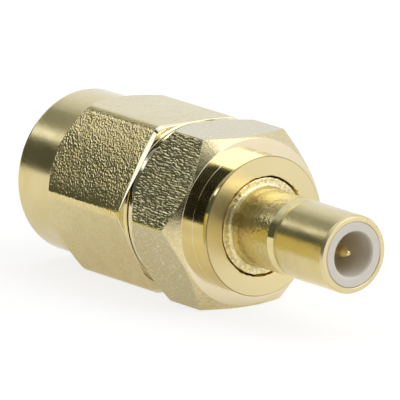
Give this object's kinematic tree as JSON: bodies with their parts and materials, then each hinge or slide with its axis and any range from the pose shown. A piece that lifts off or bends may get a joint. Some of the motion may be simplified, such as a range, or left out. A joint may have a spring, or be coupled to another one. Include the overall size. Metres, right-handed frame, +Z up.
{
  "type": "coaxial adapter",
  "caption": "Gold-plated coaxial adapter with a turning hexagonal coupling nut at one end and a push-on barrel with a recessed contact at the other.",
  "frame": {"origin": "on the axis at the reference plane of the screw-on end, where its centre contact leaves the insulator", "axes": "+X along the connector axis towards the push-on barrel, +Z up with the hexagons' flats at the top and bottom"},
  "size_m": [0.0206, 0.0092, 0.008],
  "materials": {
    "nut_gold": "gold plated, satin",
    "body_gold": "gold plated, satin and mirror",
    "shell_gold": "gold plated, satin",
    "contact_gold": "gold plated, bright",
    "ring_bronze": "spring bronze, satin",
    "gasket_rubber": "silicone, matt",
    "insulator_ptfe": "waxy white"
  },
  "bodies": {
    "adapter": {"body": "body_gold", "retaining_ring": "ring_bronze", "gasket": "gasket_rubber", "smb_shell": "shell_gold", "sma_insulator": "insulator_ptfe", "smb_insulator": "insulator_ptfe", "center_contact": "contact_gold"},
    "nut": {"coupling_nut": "nut_gold"}
  },
  "joints": [
    {"name": "nut_spin", "type": "hinge", "parent": "adapter", "child": "nut", "pos_m": [0, 0, 0], "axis": [1, 0, 0], "continuous": true}
  ]
}
